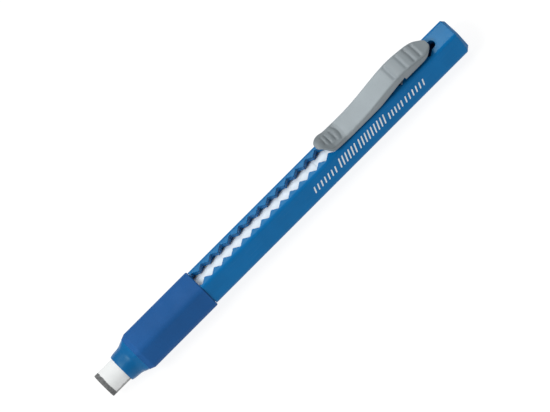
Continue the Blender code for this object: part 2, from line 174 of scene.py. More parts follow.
def add_piece(name, bm):
    """Object from a bmesh in millimetres about the barrel's axis."""
    bmesh.ops.recalc_face_normals(bm, faces=bm.faces)
    place = Matrix.Translation((0.0, 0.0, AXIS_Z * MM)) @ Matrix.Scale(MM, 4)
    bmesh.ops.transform(bm, matrix=place, verts=bm.verts)
    mesh = bpy.data.meshes.new(name)
    bm.to_mesh(mesh)
    bm.free()
    obj = bpy.data.objects.new(name, mesh)
    bpy.context.scene.collection.objects.link(obj)
    return obj


def cut(obj, tools, operation="DIFFERENCE"):
    """Apply Booleans with the tools and remove them."""
    for tool in tools:
        mod = obj.modifiers.new("cut", "BOOLEAN")
        mod.operation = operation
        mod.solver = "EXACT"
        mod.object = tool
    bpy.context.view_layer.update()
    graph = bpy.context.evaluated_depsgraph_get()
    mesh = bpy.data.meshes.new_from_object(obj.evaluated_get(graph))
    obj.modifiers.clear()
    old = obj.data
    obj.data = mesh
    mesh.name = old.name + "_cut"
    bpy.data.meshes.remove(old)
    for tool in tools:
        bpy.data.objects.remove(tool, do_unlink=True)


def dress(obj, body, nodes, mat):
    """Shade smooth apart from the sharp edges, and hand the piece to the frame."""
    mesh = obj.data
    mesh.materials.clear()
    mesh.materials.append(mat)
    mesh.polygons.foreach_set("use_smooth", [True] * len(mesh.polygons))
    mesh.polygons.foreach_set("material_index", [0] * len(mesh.polygons))
    mesh.set_sharp_from_angle(angle=math.radians(SHARP_DEG))
    even = obj.modifiers.new("even_normals", "WEIGHTED_NORMAL")
    even.keep_sharp = True
    even.weight = NORMAL_WEIGHT
    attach(obj, body)
    if nodes:
        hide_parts(*nodes)


# ---------------------------------------------------------------- material helpers
class Nodes:
    """Small builder for a Principled material in object coordinates (metres)."""

    def __init__(self, name):
        self.mat = bpy.data.materials.new(name)
        self.mat.use_nodes = True
        self.tree = self.mat.node_tree
        self.bsdf = self.tree.nodes["Principled BSDF"]
        self.coords = self.tree.nodes.new("ShaderNodeTexCoord").outputs["Object"]

    def link(self, a, b):
        self.tree.links.new(a, b)

    def stretched(self, scale):
        node = self.tree.nodes.new("ShaderNodeMapping")
        node.inputs["Scale"].default_value = scale
        self.link(self.coords, node.inputs["Vector"])
        return node.outputs["Vector"]

    def noise(self, scale, detail=3.0, rough=0.5, vector=None):
        node = self.tree.nodes.new("ShaderNodeTexNoise")
        node.inputs["Scale"].default_value = scale
        node.inputs["Detail"].default_value = detail
        node.inputs["Roughness"].default_value = rough
        self.link(vector or self.coords, node.inputs["Vector"])
        return node.outputs["Fac"]

    def cells(self, scale):
        node = self.tree.nodes.new("ShaderNodeTexVoronoi")
        node.inputs["Scale"].default_value = scale
        self.link(self.coords, node.inputs["Vector"])
        return node.outputs["Distance"]

    def span(self, value, a, b, to_a, to_b):
        node = self.tree.nodes.new("ShaderNodeMapRange")
        node.inputs["From Min"].default_value = a
        node.inputs["From Max"].default_value = b
        node.inputs["To Min"].default_value = to_a
        node.inputs["To Max"].default_value = to_b
        self.link(value, node.inputs["Value"])
        return node.outputs["Result"]

    def axis(self, index):
        node = self.tree.nodes.new("ShaderNodeSeparateXYZ")
        self.link(self.coords, node.inputs[0])
        return node.outputs[index]

    def math(self, kind, a, b):
        node = self.tree.nodes.new("ShaderNodeMath")
        node.operation = kind
        for slot, value in zip(node.inputs, (a, b)):
            if isinstance(value, (int, float)):
                slot.default_value = value
            else:
                self.link(value, slot)
        return node.outputs[0]

    def mix(self, factor, a, b):
        node = self.tree.nodes.new("ShaderNodeMix")
        node.data_type = "RGBA"
        if isinstance(factor, (int, float)):
            node.inputs["Factor"].default_value = factor
        else:
            self.link(factor, node.inputs["Factor"])
        for slot, value in ((node.inputs["A"], a), (node.inputs["B"], b)):
            if isinstance(value, tuple):
                slot.default_value = (*value, 1.0)
            else:
                self.link(value, slot)
        return node.outputs["Result"]

    def bump(self, height, strength, distance):
        node = self.tree.nodes.new("ShaderNodeBump")
        node.inputs["Strength"].default_value = strength
        node.inputs["Distance"].default_value = distance
        self.link(height, node.inputs["Height"])
        previous = self.bsdf.inputs["Normal"].links
        if previous:
            self.link(previous[0].from_socket, node.inputs["Normal"])
        self.link(node.outputs["Normal"], self.bsdf.inputs["Normal"])

    def finish(self, colour, rough, specular, tint=(1.0, 1.0, 1.0)):
        self.link(colour, self.bsdf.inputs["Base Color"])
        self.link(rough, self.bsdf.inputs["Roughness"])
        self.bsdf.inputs["Specular IOR Level"].default_value = specular
        self.bsdf.inputs["Specular Tint"].default_value = (*tint, 1.0)
        return self.mat


def shade(colour, k):
    return tuple(c * k for c in colour)


PLASTIC_VARIATION = 0.07
PLASTIC_SPECULAR = 0.30
PLASTIC_TINT = (0.58, 0.82, 0.70)
NOSE_FADE = (-0.0510, -0.0490)        # along x, from the nose, darker with painted shade and duller, to the barrel's own plastic
NOSE_PAINTED_SHADE = 0.78
NOSE_DULLER = 0.20
WHITE_WITH_PAINTED_BLUE_BOUNCE = (0.80, 0.885, 0.95)      # white with a painted blue reflection of the barrel: the carriage, and the stick inside the barrel
# painted shade on the stick: a grey line along its near lower flank and a dark band on its working end
FLANK_PAINTED_SHADE = (0.300, 0.300, 0.300)
TIP_END_PAINTED_SHADE = (0.100, 0.102, 0.104)
BLUE_BOUNCE_FADE = (-0.0535, -0.0525)      # along x, from the tip to the stick in the barrel, which gets a painted blue reflection of the barrel
TIP_SHADE_FADE = (0.00120, 0.00140)        # behind the tip, end of the painted shade on the working end
FLANK_SHADE_FADE = (0.00285, 0.00310)       # out along the near lower flank, start of the painted shade line
FLANK_SHADE_END_FADE = (-0.0545, -0.0530)      # along x, end of the painted shade line on the flank
# clip: painted shade; where each darker part fades in or out, in metres, and how dark its painted shade is
KNOB_FADE, KNOB_PAINTED_SHADE = (0.0232, 0.0242), 0.62
HUMP_FADE, HUMP_PAINTED_SHADE = (0.0400, 0.0425), 0.86
CLIP_END_FADE, CLIP_END_PAINTED_SHADE = (0.0455, 0.0480), 0.76
WALL_FADE, WALL_PAINTED_SHADE = (0.0026, 0.0029), 0.55        # across, on both sides: painted shade on the side walls


def moulded_plastic(name, colour, rough):
    """Glossy moulded plastic: flow clouds, hairline scratches along the length, fine ripple, duller nose
    darkened with painted shade.
    """
    n = Nodes(name)
    clouds = n.noise(160.0, 4.0)
    flow = n.noise(1.0, 3.0, 0.6, n.stretched((40.0, 700.0, 700.0)))
    dark, pale, streak = (shade(colour, 1.0 + k * PLASTIC_VARIATION) for k in (-1.0, 1.0, 2.0))
    tone = n.mix(n.span(clouds, 0.3, 0.7, 0.0, 1.0), dark, pale)
    tone = n.mix(n.span(flow, 0.45, 0.75, 0.0, 0.35), tone, streak)
    hair = n.noise(1.0, 2.0, 0.5, n.stretched((120.0, 6000.0, 6000.0)))
    scratch = n.span(hair, 0.62, 0.72, 0.0, 1.0)
    base = n.span(n.noise(900.0), 0.3, 0.7, rough - 0.04, rough + 0.05)
    roughness = n.math("ADD", base, n.math("MULTIPLY", scratch, 0.16))
    n.bump(n.noise(420.0, 3.0), 0.10, 0.00004)
    n.bump(scratch, 0.12, 0.00001)
    # painted shade: the nose is darker than the rest of the barrel; it is also duller
    nose = n.span(n.axis(0), *NOSE_FADE, 1.0, 0.0)
    tone = n.mix(nose, tone, shade(colour, NOSE_PAINTED_SHADE))
    roughness = n.math("ADD", roughness, n.math("MULTIPLY", nose, NOSE_DULLER))
    return n.finish(tone, roughness, PLASTIC_SPECULAR, PLASTIC_TINT)


def barrel_material():
    return moulded_plastic("barrel_blue", (0.0020, 0.140, 0.385), 0.20)


def plug_material():
    return moulded_plastic("plug_blue", (0.0030, 0.110, 0.300), 0.24)


def grip_material():
    """Matte moulded rubber: fine pebble grain, dull and shiny patches from handling."""
    n = Nodes("grip_rubber")
    colour = (0.009, 0.092, 0.295)
    clouds = n.noise(110.0, 4.0)
    tone = n.mix(n.span(clouds, 0.3, 0.7, 0.0, 1.0), shade(colour, 0.93), shade(colour, 1.07))
    grain = n.cells(3300.0)
    tone = n.mix(n.span(grain, 0.0, 0.6, 0.18, 0.0), tone, shade(colour, 0.55))
    roughness = n.span(n.noise(240.0), 0.3, 0.7, 0.50, 0.64)
    n.bump(grain, 0.30, 0.00005)
    n.bump(n.noise(5200.0, 2.0), 0.20, 0.00002)
    return n.finish(tone, roughness, 0.18)


def clip_material():
    """Satin grey plastic: spark-eroded grain, painted shade on the knob, hump, rear end and side walls."""
    n = Nodes("clip_grey")
    colour = (0.332, 0.378, 0.402)
    clouds = n.noise(140.0, 4.0)
    tone = n.mix(n.span(clouds, 0.3, 0.7, 0.0, 1.0), shade(colour, 0.95), shade(colour, 1.05))
    # painted shade: the knob, the hump, the rear end and the side walls are made darker
    knob = n.span(n.axis(0), *KNOB_FADE, 1.0, 0.0)
    tone = n.mix(n.math("MULTIPLY", knob, 0.85), tone, shade(colour, KNOB_PAINTED_SHADE))
    tone = n.mix(n.span(n.axis(0), *HUMP_FADE, 0.0, 1.0), tone, shade(colour, HUMP_PAINTED_SHADE))
    tone = n.mix(n.span(n.axis(0), *CLIP_END_FADE, 0.0, 1.0), tone, shade(colour, CLIP_END_PAINTED_SHADE))
    wall_painted_shade = n.span(n.math("ABSOLUTE", n.axis(1), 0.0), *WALL_FADE, 0.0, 0.5)
    tone = n.mix(wall_painted_shade, tone, shade(colour, WALL_PAINTED_SHADE))
    speck = n.span(n.noise(2600.0, 2.0), 0.60, 0.75, 0.0, 0.35)
    tone = n.mix(speck, tone, shade(colour, 0.80))
    roughness = n.span(n.noise(700.0), 0.3, 0.7, 0.34, 0.46)
    n.bump(n.noise(3800.0, 2.0), 0.16, 0.00002)
    n.bump(n.noise(300.0, 3.0), 0.08, 0.00004)
    return n.finish(tone, roughness, 0.35)


def holder_material():
    """Satin white plastic with fine grain, tinted by a painted blue reflection of the barrel."""
    n = Nodes("holder_white")
    tone = n.mix(n.span(n.noise(200.0, 4.0), 0.3, 0.7, 0.0, 1.0), shade(WHITE_WITH_PAINTED_BLUE_BOUNCE, 0.94), WHITE_WITH_PAINTED_BLUE_BOUNCE)
    roughness = n.span(n.noise(900.0), 0.3, 0.7, 0.34, 0.46)
    n.bump(n.noise(2500.0, 2.0), 0.12, 0.00002)
    return n.finish(tone, roughness, 0.35)


def eraser_material():
    """White vinyl: soft mottling, fine pits, painted shade on the working end and along its near lower flank.
    """
    n = Nodes("eraser_vinyl")
    colour = (0.830, 0.845, 0.840)
    painted_blue_bounce = n.span(n.axis(0), *BLUE_BOUNCE_FADE, 0.0, 1.0)
    tone = n.mix(n.span(n.noise(230.0, 5.0), 0.3, 0.7, 0.0, 1.0), shade(colour, 0.965), colour)
    pits = n.span(n.noise(3600.0, 3.0), 0.62, 0.72, 0.0, 0.4)
    tone = n.mix(pits, tone, shade(colour, 0.86))
    # painted reflection: the stick inside the barrel is tinted blue by the barrel around it
    tone = n.mix(n.math("MULTIPLY", painted_blue_bounce, 0.8), tone, WHITE_WITH_PAINTED_BLUE_BOUNCE)
    # painted shade: a dark band on the working end and a grey line along the near lower flank, both a little
    # patchy
    ragged = n.math("MULTIPLY", n.math("SUBTRACT", n.noise(900.0, 4.0), 0.5), 0.0006)
    along = n.math("ADD", n.axis(0), ragged)
    tip_shade_mask = n.span(along, TIP_X * MM + TIP_SHADE_FADE[0], TIP_X * MM + TIP_SHADE_FADE[1], 1.0, 0.0)
    patchy_shade = n.span(n.noise(1500.0, 4.0), 0.3, 0.7, 0.86, 1.0)
    low = n.math("MULTIPLY", n.math("SUBTRACT", n.axis(2), AXIS_Z * MM), -SIN_30)
    flank = n.math("ADD", n.math("MULTIPLY", n.axis(1), -COS_30), n.math("ADD", low, ragged))
    outer = n.span(flank, *FLANK_SHADE_FADE, 0.0, 1.0)
    flank_shade_mask = n.math("MULTIPLY", outer, n.span(along, *FLANK_SHADE_END_FADE, 1.0, 0.0))
    tone = n.mix(n.math("MULTIPLY", flank_shade_mask, patchy_shade), tone, FLANK_PAINTED_SHADE)
    tone = n.mix(n.math("MULTIPLY", tip_shade_mask, patchy_shade), tone, TIP_END_PAINTED_SHADE)
    roughness = n.span(n.noise(1200.0), 0.3, 0.7, 0.62, 0.78)
    n.bump(n.noise(2600.0, 4.0), 0.22, 0.00003)
    return n.finish(tone, roughness, 0.22)


def print_material():
    """White ink, a little patchy."""
    n = Nodes("print_white")
    tone = n.mix(n.span(n.noise(2500.0, 3.0), 0.35, 0.65, 0.0, 1.0), (0.62, 0.70, 0.74), (0.80, 0.84, 0.86))
    roughness = n.span(n.noise(1800.0), 0.3, 0.7, 0.40, 0.55)
    n.bump(n.noise(4000.0, 2.0), 0.15, 0.00001)
    return n.finish(tone, roughness, 0.3)


# ---------------------------------------------------------------- barrel
CORNER_STEPS = 10
FLAT_STEPS = 4


def hex_ring(flats, corner_r):
    """Rounded hexagon as (y, z) points; flats face up and down."""
    reach = (flats / 2.0 - corner_r) / math.cos(math.radians(30.0))
    ring = []
    for corner in range(6):
        mid = math.radians(60.0 * corner)
        points = []
        for i in range(CORNER_STEPS + 1):
            a = mid + math.radians(-30.0 + 60.0 * i / CORNER_STEPS)
            points.append((reach * math.cos(mid) + corner_r * math.cos(a),
                           reach * math.sin(mid) + corner_r * math.sin(a)))
        ring += points
        turn = math.radians(60.0)
        p = points[-1]
        q = (points[0][0] * math.cos(turn) - points[0][1] * math.sin(turn),
             points[0][0] * math.sin(turn) + points[0][1] * math.cos(turn))
        for i in range(1, FLAT_STEPS):
            k = i / FLAT_STEPS
            ring.append((p[0] + (q[0] - p[0]) * k, p[1] + (q[1] - p[1]) * k))
    return ring


def at_x(ring, x):
    return [(x, y, z) for y, z in ring]


def round_ring(like, radius):
    return [(radius * y / math.hypot(y, z), radius * z / math.hypot(y, z)) for y, z in like]


def blend(a, b, k):
    return [(p[0] + (q[0] - p[0]) * k, p[1] + (q[1] - p[1]) * k) for p, q in zip(a, b)]


NECK_X = -52.2
# x, radius
NOSE_KEYS = ((NOSE_X, 3.74), (NOSE_X + 0.08, 3.82), (NOSE_X + 0.24, 3.88), (-53.7, 4.06), (-52.7, 4.14),
             (NECK_X, 4.20))
NOSE_STATIONS = (0.0, 0.03, 0.08, 0.16, 0.24, 0.6, 1.0, 1.6, 2.2)      # behind the front edge
# x, share of the way from the round neck to the rounded hexagon
CONE_KEYS = ((NECK_X, 0.0), (-51.76, 0.12), (-50.78, 0.65), (RECESS_FRONT_X, 1.0))
CONE_STEPS = 12
# chamfer of the rear rim: size at the slotted face, and how much larger it is at the opposite face
REAR_LENGTH = (0.8, 0.9)
REAR_INSET = (0.8, 0.3)
# softened straight chamfer: share of the length, share of the inset
REAR_KEYS = ((0.0, 0.0), (0.10, 0.04), (0.22, 0.16), (0.80, 0.80), (0.92, 0.93), (1.0, 1.0))


def barrel_rings():
    """Round nose, cone growing into the hexagon, recess for the grip, body, chamfered rear rim."""
    body = hex_ring(BODY_FLATS, BODY_CORNER_R)
    cone = hex_ring(CONE_FLATS, CONE_CORNER_R)
    recess = hex_ring(RECESS_FLATS, RECESS_CORNER_R)
    stations = [NOSE_X + behind for behind in NOSE_STATIONS] + [NECK_X]
    rings = [at_x(round_ring(body, spline(NOSE_KEYS, x)), x) for x in stations]
    neck = round_ring(body, NOSE_KEYS[-1][1])
    for i in range(1, CONE_STEPS + 1):
        x = NECK_X + (RECESS_FRONT_X - NECK_X) * i / CONE_STEPS
        rings.append(at_x(blend(neck, cone, spline(CONE_KEYS, x)), x))
    rings += [at_x(recess, RECESS_FRONT_X), at_x(recess, RECESS_REAR_X), at_x(body, RECESS_REAR_X)]
    for along, inwards in REAR_KEYS:
        ring = []
        for y, z in body:
            low = max(0.0, min(1.0, 0.5 - z / FACE_Z))
            length = REAR_LENGTH[0] + REAR_LENGTH[1] * low
            k = 1.0 - (REAR_INSET[0] + REAR_INSET[1] * low) / FACE_Z * inwards
            ring.append((REAR_X - length * (1.0 - along), y * k, z * k))
        rings.append(ring)
    return rings


NOTCH_STEPS = 16
NOTCH_POINT = 0.12            # share of the third wave, which makes the notches more pointed
SLOT_END_STEPS = 8
# height, growth of the outline: a small chamfer along the slot's upper edge
SLOT_LEVELS = ((SLOT_FLOOR_Z, 0.0), (FACE_Z - 0.16, 0.0), (FACE_Z - 0.05, 0.05), (FACE_Z + 0.01, 0.16),
               (FACE_Z + CUT_PAST, 0.16))


def slot_side(grow):
    """Half outline of the slot: rounded notches and a rounded rear end, grown outwards by a margin."""
    side = []
    start = NOTCH_FIRST_X - NOTCH_PITCH / 2.0
    mean = (SLOT_WIDE + SLOT_NARROW) / 4.0
    swing = (SLOT_WIDE - SLOT_NARROW) / 4.0
    for i in range(NOTCH_COUNT * NOTCH_STEPS + 1):
        phase = math.tau * i / NOTCH_STEPS
        wave = -math.cos(phase) - NOTCH_POINT * math.cos(3.0 * phase)
        y = mean + swing * wave / (1.0 + NOTCH_POINT) + grow
        side.append((start + NOTCH_PITCH * i / NOTCH_STEPS, y))
    end = SLOT_REAR_X + grow
    r = SLOT_NARROW / 2.0 + grow
    for i in range(1, SLOT_END_STEPS):
        a = math.pi / 2.0 * i / SLOT_END_STEPS
        side.append((end - r + r * math.sin(a), r * math.cos(a)))
    side[0] = (side[0][0] - grow, side[0][1])
    return side


def slot_cutter():
    bm = bmesh.new()
    rings = []
    for z, grow in SLOT_LEVELS:
        side = slot_side(grow)
        rings.append([(x, y, z) for x, y in side] + [(x, -y, z) for x, y in reversed(side)])
    loft(bm, rings)
    return add_piece("slot_cutter", bm)


# x, radius from the rear to the mouth, with a small chamfer at both ends
BORE_PROFILE = ((REAR_X + CUT_PAST, 0.0), (REAR_X + CUT_PAST, BORE_R + 0.12), (REAR_X - 0.02, BORE_R + 0.12),
                (REAR_X - 0.14, BORE_R), (-51.4, BORE_R), (-51.7, MOUTH_R), (NOSE_X + 0.12, MOUTH_R),
                (NOSE_X - 0.02, MOUTH_R + 0.1), (NOSE_X - CUT_PAST, MOUTH_R + 0.1), (NOSE_X - CUT_PAST, 0.0))


def build_barrel(mat):
    bm = bmesh.new()
    loft(bm, barrel_rings())
    barrel = add_piece("barrel_shell", bm)
    bm = bmesh.new()
    turned(bm, BORE_PROFILE)
    bore = add_piece("bore_cutter", bm)
    cut(barrel, [bore, slot_cutter()])
    dress(barrel, "barrel_body", ["barrel"], mat)


GRIP_CORNER_R = 2.09
GRIP_GAP = 0.05               # room between the sleeve and the recess
# distance from the sleeve's end, inset
GRIP_FRONT_KEYS = ((0.0, 0.52), (0.5, 0.36), (1.0, 0.14), (1.4, 0.0))
GRIP_REAR_KEYS = ((0.0, 0.30), (0.04, 0.20), (0.12, 0.09), (0.3, 0.0))
GRIP_FRONT_STEP = 0.14
GRIP_REAR_STEP = 0.03
GRIP_END_STEPS = 10


def build_grip(mat):
    """Sleeve with soft rounded ends over the barrel's recess."""
    bm = bmesh.new()
    rings = []
    front, rear = GRIP_X
    inner = hex_ring(RECESS_FLATS + 2.0 * GRIP_GAP, RECESS_CORNER_R + GRIP_GAP)
    profile = []
    for i in range(GRIP_END_STEPS + 1):
        profile.append((front + GRIP_FRONT_STEP * i, spline(GRIP_FRONT_KEYS, GRIP_FRONT_STEP * i)))
    for i in range(GRIP_END_STEPS, -1, -1):
        profile.append((rear - GRIP_REAR_STEP * i, spline(GRIP_REAR_KEYS, GRIP_REAR_STEP * i)))
    for x, inset in profile:
        rings.append(at_x(hex_ring(GRIP_FLATS - 2.0 * inset, GRIP_CORNER_R - inset), x))
    rings.append(at_x(inner, rear))
    rings.append(at_x(inner, front))
    rows = loft(bm, rings, caps=False)
    first, last = rows[0], rows[-1]
    for i in range(len(first)):
        k = (i + 1) % len(first)
        bm.faces.new((first[i], first[k], last[k], last[i]))
    grip = add_piece("grip_rubber_sleeve", bm)
    dress(grip, "barrel_body", ["grip_sleeve"], mat)


PLUG_DIMPLE = ((0.6, 0.0), (0.6, 0.9), (0.5, 1.12), (0.1, 1.36), (0.0, 1.5))     # depth, radius
PLUG_EDGE_R = 0.3
PLUG_LEAD = (0.5, 0.4)        # taper at the front: length, inset


def build_plug(mat):
    """Disc with a dimple in its rear face and a taper at its front."""
    front, rear = PLUG_X
    profile = [(rear - depth, r) for depth, r in PLUG_DIMPLE]
    for i in range(EDGE_STEPS + 1):
        a = math.pi / 2.0 * i / EDGE_STEPS
        profile.append((rear - PLUG_EDGE_R * (1.0 - math.cos(a)), PLUG_R - PLUG_EDGE_R * (1.0 - math.sin(a))))
    profile += [(front + PLUG_LEAD[0], PLUG_R), (front, PLUG_R - PLUG_LEAD[1]), (front, 0.0)]
    bm = bmesh.new()
    turned(bm, profile)
    plug = add_piece("tail_plug_cap", bm)
    dress(plug, "barrel_body", ["tail_plug"], mat)


# x, radius from the tail forwards: pinched between the jaws, shoulder, plain length
ERASER_PROFILE = ((ERASER_TAIL_X, 0.0), (ERASER_TAIL_X, 2.70), (ERASER_TAIL_X - 0.18, 2.88), (13.67, 2.88),
                  (13.66, 3.33), (13.6, ERASER_R), (0.0, ERASER_R), (-20.0, ERASER_R), (-40.0, ERASER_R),
                  (-55.0, ERASER_R))
ERASER_EDGE_R = 0.22


def build_eraser(mat):
    """Stick with a pinched tail and a slightly rounded working end."""
    profile = list(ERASER_PROFILE)
    for i in range(EDGE_STEPS + 1):
        a = math.pi / 2.0 * i / EDGE_STEPS
        profile.append((TIP_X + ERASER_EDGE_R * (1.0 - math.sin(a)),
                        ERASER_R - ERASER_EDGE_R * (1.0 - math.cos(a))))
    profile.append((TIP_X, 0.0))
    bm = bmesh.new()
    turned(bm, profile)
    eraser = add_piece("vinyl_stick", bm)
    dress(eraser, "eraser_body", ["eraser_stick"], mat)


# ---------------------------------------------------------------- clip
# x, height above the slotted face: shoulder of the top, crest above the shoulder, underside; and half width
TOP_KEYS = ((16.55, 4.40), (17.0, 4.60), (17.4, 4.56), (17.9, 4.34), (18.4, 3.95), (18.9, 3.48), (19.6, 3.02),
            (20.4, 2.64), (22.1, 2.50), (23.9, 2.44), (26.5, 2.40), (29.0, 2.54), (31.5, 2.84), (34.4, 3.41),
            (37.0, 3.98), (39.5, 4.46), (41.3, 4.72), (42.6, 4.84), (43.6, 4.84), (45.0, 4.74), (46.6, 4.48),
            (48.1, 4.18), (49.2, 3.90), (50.3, 3.56), (51.2, 3.26), (51.9, 3.02), (52.6, 2.80), (53.25, 2.62),
            (53.7, 2.50), (53.95, 2.38))
CREST_KEYS = ((16.55, 0.10), (17.4, 0.25), (18.0, 0.38), (19.0, 0.62), (20.4, 0.76), (22.1, 0.56),
              (23.5, 0.26), (24.3, 0.06), (40.0, 0.03), (43.6, 0.03), (47.0, 0.08), (51.0, 0.09),
              (53.95, 0.04))
LOW_KEYS = ((16.55, 4.15), (17.0, 4.12), (17.4, 3.86), (17.9, 3.30), (18.4, 2.50), (18.9, 1.72),
            (19.5, 1.26), (20.4, 1.06), (22.0, 0.94), (23.5, 0.86), (25.4, 0.76), (31.5, 0.72),
            (34.4, 0.76), (37.0, 1.20), (39.5, 1.78), (41.3, 2.17), (42.6, 2.43), (43.6, 2.58),
            (43.95, 2.62), (44.03, 1.55), (50.3, 1.55), (51.2, 1.58), (51.9, 1.62), (52.6, 1.68),
            (53.25, 1.78), (53.7, 1.88), (53.95, 1.98))
WIDTH_KEYS = ((16.55, 0.60), (16.65, 0.86), (16.85, 1.14), (17.3, 1.60), (17.8, 2.04), (18.3, 2.46),
              (18.8, 2.78), (19.2, 2.94), (19.7, 3.0), (49.2, 3.0), (50.3, 2.96), (50.9, 2.88),
              (51.4, 2.76), (51.9, 2.56), (52.6, 2.10), (53.25, 1.60), (53.7, 1.16), (53.95, 0.75))
# grooves across the top: x at the middle, depth, half length, how far the ends sweep forward, half width
GROOVES = ((19.00, 0.30, 0.30, 0.3, 1.60), (20.20, 0.32, 0.30, 0.3, 1.75), (21.80, 0.32, 0.36, 0.3, 1.85),
           (23.45, 0.24, 0.36, 1.0, 2.70), (42.10, 0.34, 0.60, 0.1, 2.75), (45.95, 0.20, 0.45, 0.1, 2.75),
           (48.60, 0.34, 0.42, 0.1, 2.75), (50.55, 0.34, 0.42, 0.1, 2.60))


GROOVE_RIM = 0.2              # kept plain between a groove's end and the clip's side
GROOVE_FADE = 0.6             # width over which a groove runs out


def groove_depth(x, y, half_w):
    depth = 0.0
    for x0, deep, reach, sweep, wide in GROOVES:
        middle = x0 - sweep * (y / CLIP_HALF_W) ** 2
        edge = min(wide, half_w - GROOVE_RIM)
        across = 1.0 - smooth_step(edge - GROOVE_FADE, edge, abs(y))
        depth += deep * math.exp(-((x - middle) / reach) ** 2) * across
    return depth


# edge radii, each at most these shares of the height and of the half width
TOP_R = 0.62
TOP_R_SHARES = (0.45, 0.6)
LOW_R = 0.22
LOW_R_SHARE = 0.2
LOW_STEPS = 12
LOW_ROUND_STEPS = 4
TOP_ROUND_STEPS = 8
CREST_STEPS = 20
CREST_POWER = 1.3


def clip_ring(x):
    """Section of the clip: flat underside, rounded edges, grooved top with a crest."""
    half_w = spline(WIDTH_KEYS, x)
    top = spline(TOP_KEYS, x)
    low = spline(LOW_KEYS, x)
    r = min(TOP_R, (top - low) * TOP_R_SHARES[0], half_w * TOP_R_SHARES[1])
    q = min(LOW_R, (top - low) * LOW_R_SHARE)
    points = []
    for i in range(LOW_STEPS + 1):
        points.append((-half_w + q + (2.0 * (half_w - q)) * i / LOW_STEPS, low))
    for i in range(1, LOW_ROUND_STEPS + 1):
        a = math.radians(-90.0 + 90.0 * i / LOW_ROUND_STEPS)
        points.append((half_w - q + q * math.cos(a), low + q + q * math.sin(a)))
    for i in range(TOP_ROUND_STEPS + 1):
        a = math.radians(90.0 * i / TOP_ROUND_STEPS)
        y = half_w - r + r * math.cos(a)
        points.append((y, top - r + r * math.sin(a) - groove_depth(x, y, half_w) * math.sin(a)))
    span = half_w - r
    crest = spline(CREST_KEYS, x)
    for i in range(1, CREST_STEPS):
        y = span - 2.0 * span * i / CREST_STEPS
        rise = crest * math.cos(math.pi / 2.0 * y / span) ** CREST_POWER
        points.append((y, top + rise - groove_depth(x, y, half_w)))
    for i in range(TOP_ROUND_STEPS + 1):
        a = math.radians(90.0 + 90.0 * i / TOP_ROUND_STEPS)
        y = -half_w + r + r * math.cos(a)
        points.append((y, top - r + r * math.sin(a) - groove_depth(x, y, half_w) * math.sin(a)))
    for i in range(LOW_ROUND_STEPS):
        a = math.radians(180.0 + 90.0 * i / LOW_ROUND_STEPS)
        points.append((-half_w + q + q * math.cos(a), low + q + q * math.sin(a)))
    return [(x, y, z + FACE_Z) for y, z in points]


STATION_STEP = 0.12
END_STEP = 0.05
END_COUNT = 12
END_LENGTH = 0.6
UNDERCUT_STATIONS = [43.93, 43.97, 44.01, 44.05]


def clip_stations():
    """Close stations along the clip, closer still at its ends and at the step under the hump."""
    front, rear = CLIP_X
    stations = [front + END_STEP * i for i in range(END_COUNT)]
    x = stations[-1] + STATION_STEP
    while x < rear - END_LENGTH:
        stations.append(x)
        x += STATION_STEP
    stations += [rear - END_STEP * i for i in range(END_COUNT)]
    stations += UNDERCUT_STATIONS
    return sorted(set(round(s, 4) for s in stations))


# hollow under the arm: x, height of its roof above the slotted face
CORE_KEYS = ((23.6, 1.40), (26.5, 1.38), (29.0, 1.45), (31.5, 1.75), (34.4, 2.30), (37.0, 2.85), (39.0, 3.25))
CORE_HALF_W = 1.8
CORE_EDGE = 0.25
CORE_STEPS = 24
STEM_EDGE = 0.12
STEM_BOX = ((44.2, 47.3), (-0.9, 0.9), (0.45, FACE_Z + 2.4))
LUG_NOTCH = 22                # the notch that the lug stands in, counted from the first
LUG_HALF_X = 0.9
LUG_Y = (-1.0, 1.0)
LUG_Z = (2.95, 3.85)
BARB_X = (44.5, 47.0)
BARB_HALF_W = 1.45
BARB_SLOPE = 0.75


def build_clip(mat):
    """Arm with knob and hump, hollow below, with the stem, lug and barbs that reach into the slot."""
    bm = bmesh.new()
    loft(bm, [clip_ring(x) for x in clip_stations()])
    clip = add_piece("clip_slider", bm)
    bm = bmesh.new()
    rings = []
    for i in range(CORE_STEPS + 1):
        x = CORE_KEYS[0][0] + (CORE_KEYS[-1][0] - CORE_KEYS[0][0]) * i / CORE_STEPS
        z0 = FACE_Z - CUT_PAST
        z1 = FACE_Z + spline(CORE_KEYS, x)
        w = CORE_HALF_W
        rings.append([(x, -w, z0), (x, w, z0), (x, w, z1 - CORE_EDGE), (x, w - CORE_EDGE, z1),
                      (x, CORE_EDGE - w, z1), (x, -w, z1 - CORE_EDGE)])
    loft(bm, rings)
    cut(clip, [add_piece("core_cutter", bm)])
    bm = bmesh.new()
    box(bm, *STEM_BOX, STEM_EDGE)
    stem = add_piece("clip_stem", bm)
    lug_x = NOTCH_FIRST_X + LUG_NOTCH * NOTCH_PITCH
    bm = bmesh.new()
    box(bm, (lug_x - LUG_HALF_X, lug_x + LUG_HALF_X), LUG_Y, LUG_Z, STEM_EDGE)
    lug = add_piece("clip_lug", bm)
    bm = bmesh.new()
    w = BARB_HALF_W
    arrow = [(-w, 0.95), (-w, 0.70), (-w + BARB_SLOPE, 0.35), (w - BARB_SLOPE, 0.35), (w, 0.70), (w, 0.95)]
    loft(bm, [at_x(arrow, x) for x in BARB_X])
    cut(clip, [stem, lug, add_piece("clip_barb", bm)], "UNION")
    dress(clip, "clip_body", ["clip"], mat)


